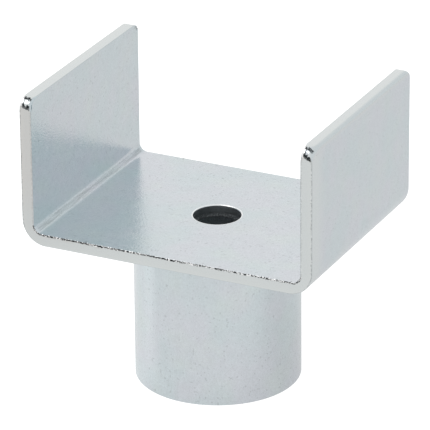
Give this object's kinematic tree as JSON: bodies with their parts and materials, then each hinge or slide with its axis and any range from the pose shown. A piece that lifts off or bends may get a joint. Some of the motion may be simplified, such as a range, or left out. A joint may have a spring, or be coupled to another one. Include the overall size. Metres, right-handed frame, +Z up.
{
  "type": "post anchor saddle",
  "caption": "U-shaped saddle of bent steel plate with a bolt hole in its floor, welded on a short round socket tube, to hold a timber post on a ground pipe.",
  "frame": {"origin": "centre of the socket tube's lower rim, which the part stands on", "axes": "+X across the two arms, +Y along the width of the bar, +Z up along the tube, towards the open side of the saddle"},
  "size_m": [0.098, 0.0724, 0.097],
  "materials": {
    "zinc_plated_plate": "bright zinc-plated mild steel, satin",
    "zinc_plated_tube": "bright zinc-plated drawn steel tube, satin",
    "plated_weld": "zinc-plated weld metal, rippled"
  },
  "bodies": {
    "root": {"saddle_plate": "zinc_plated_plate", "socket_tube": "zinc_plated_tube", "weld_bead": "plated_weld"}
  },
  "joints": []
}
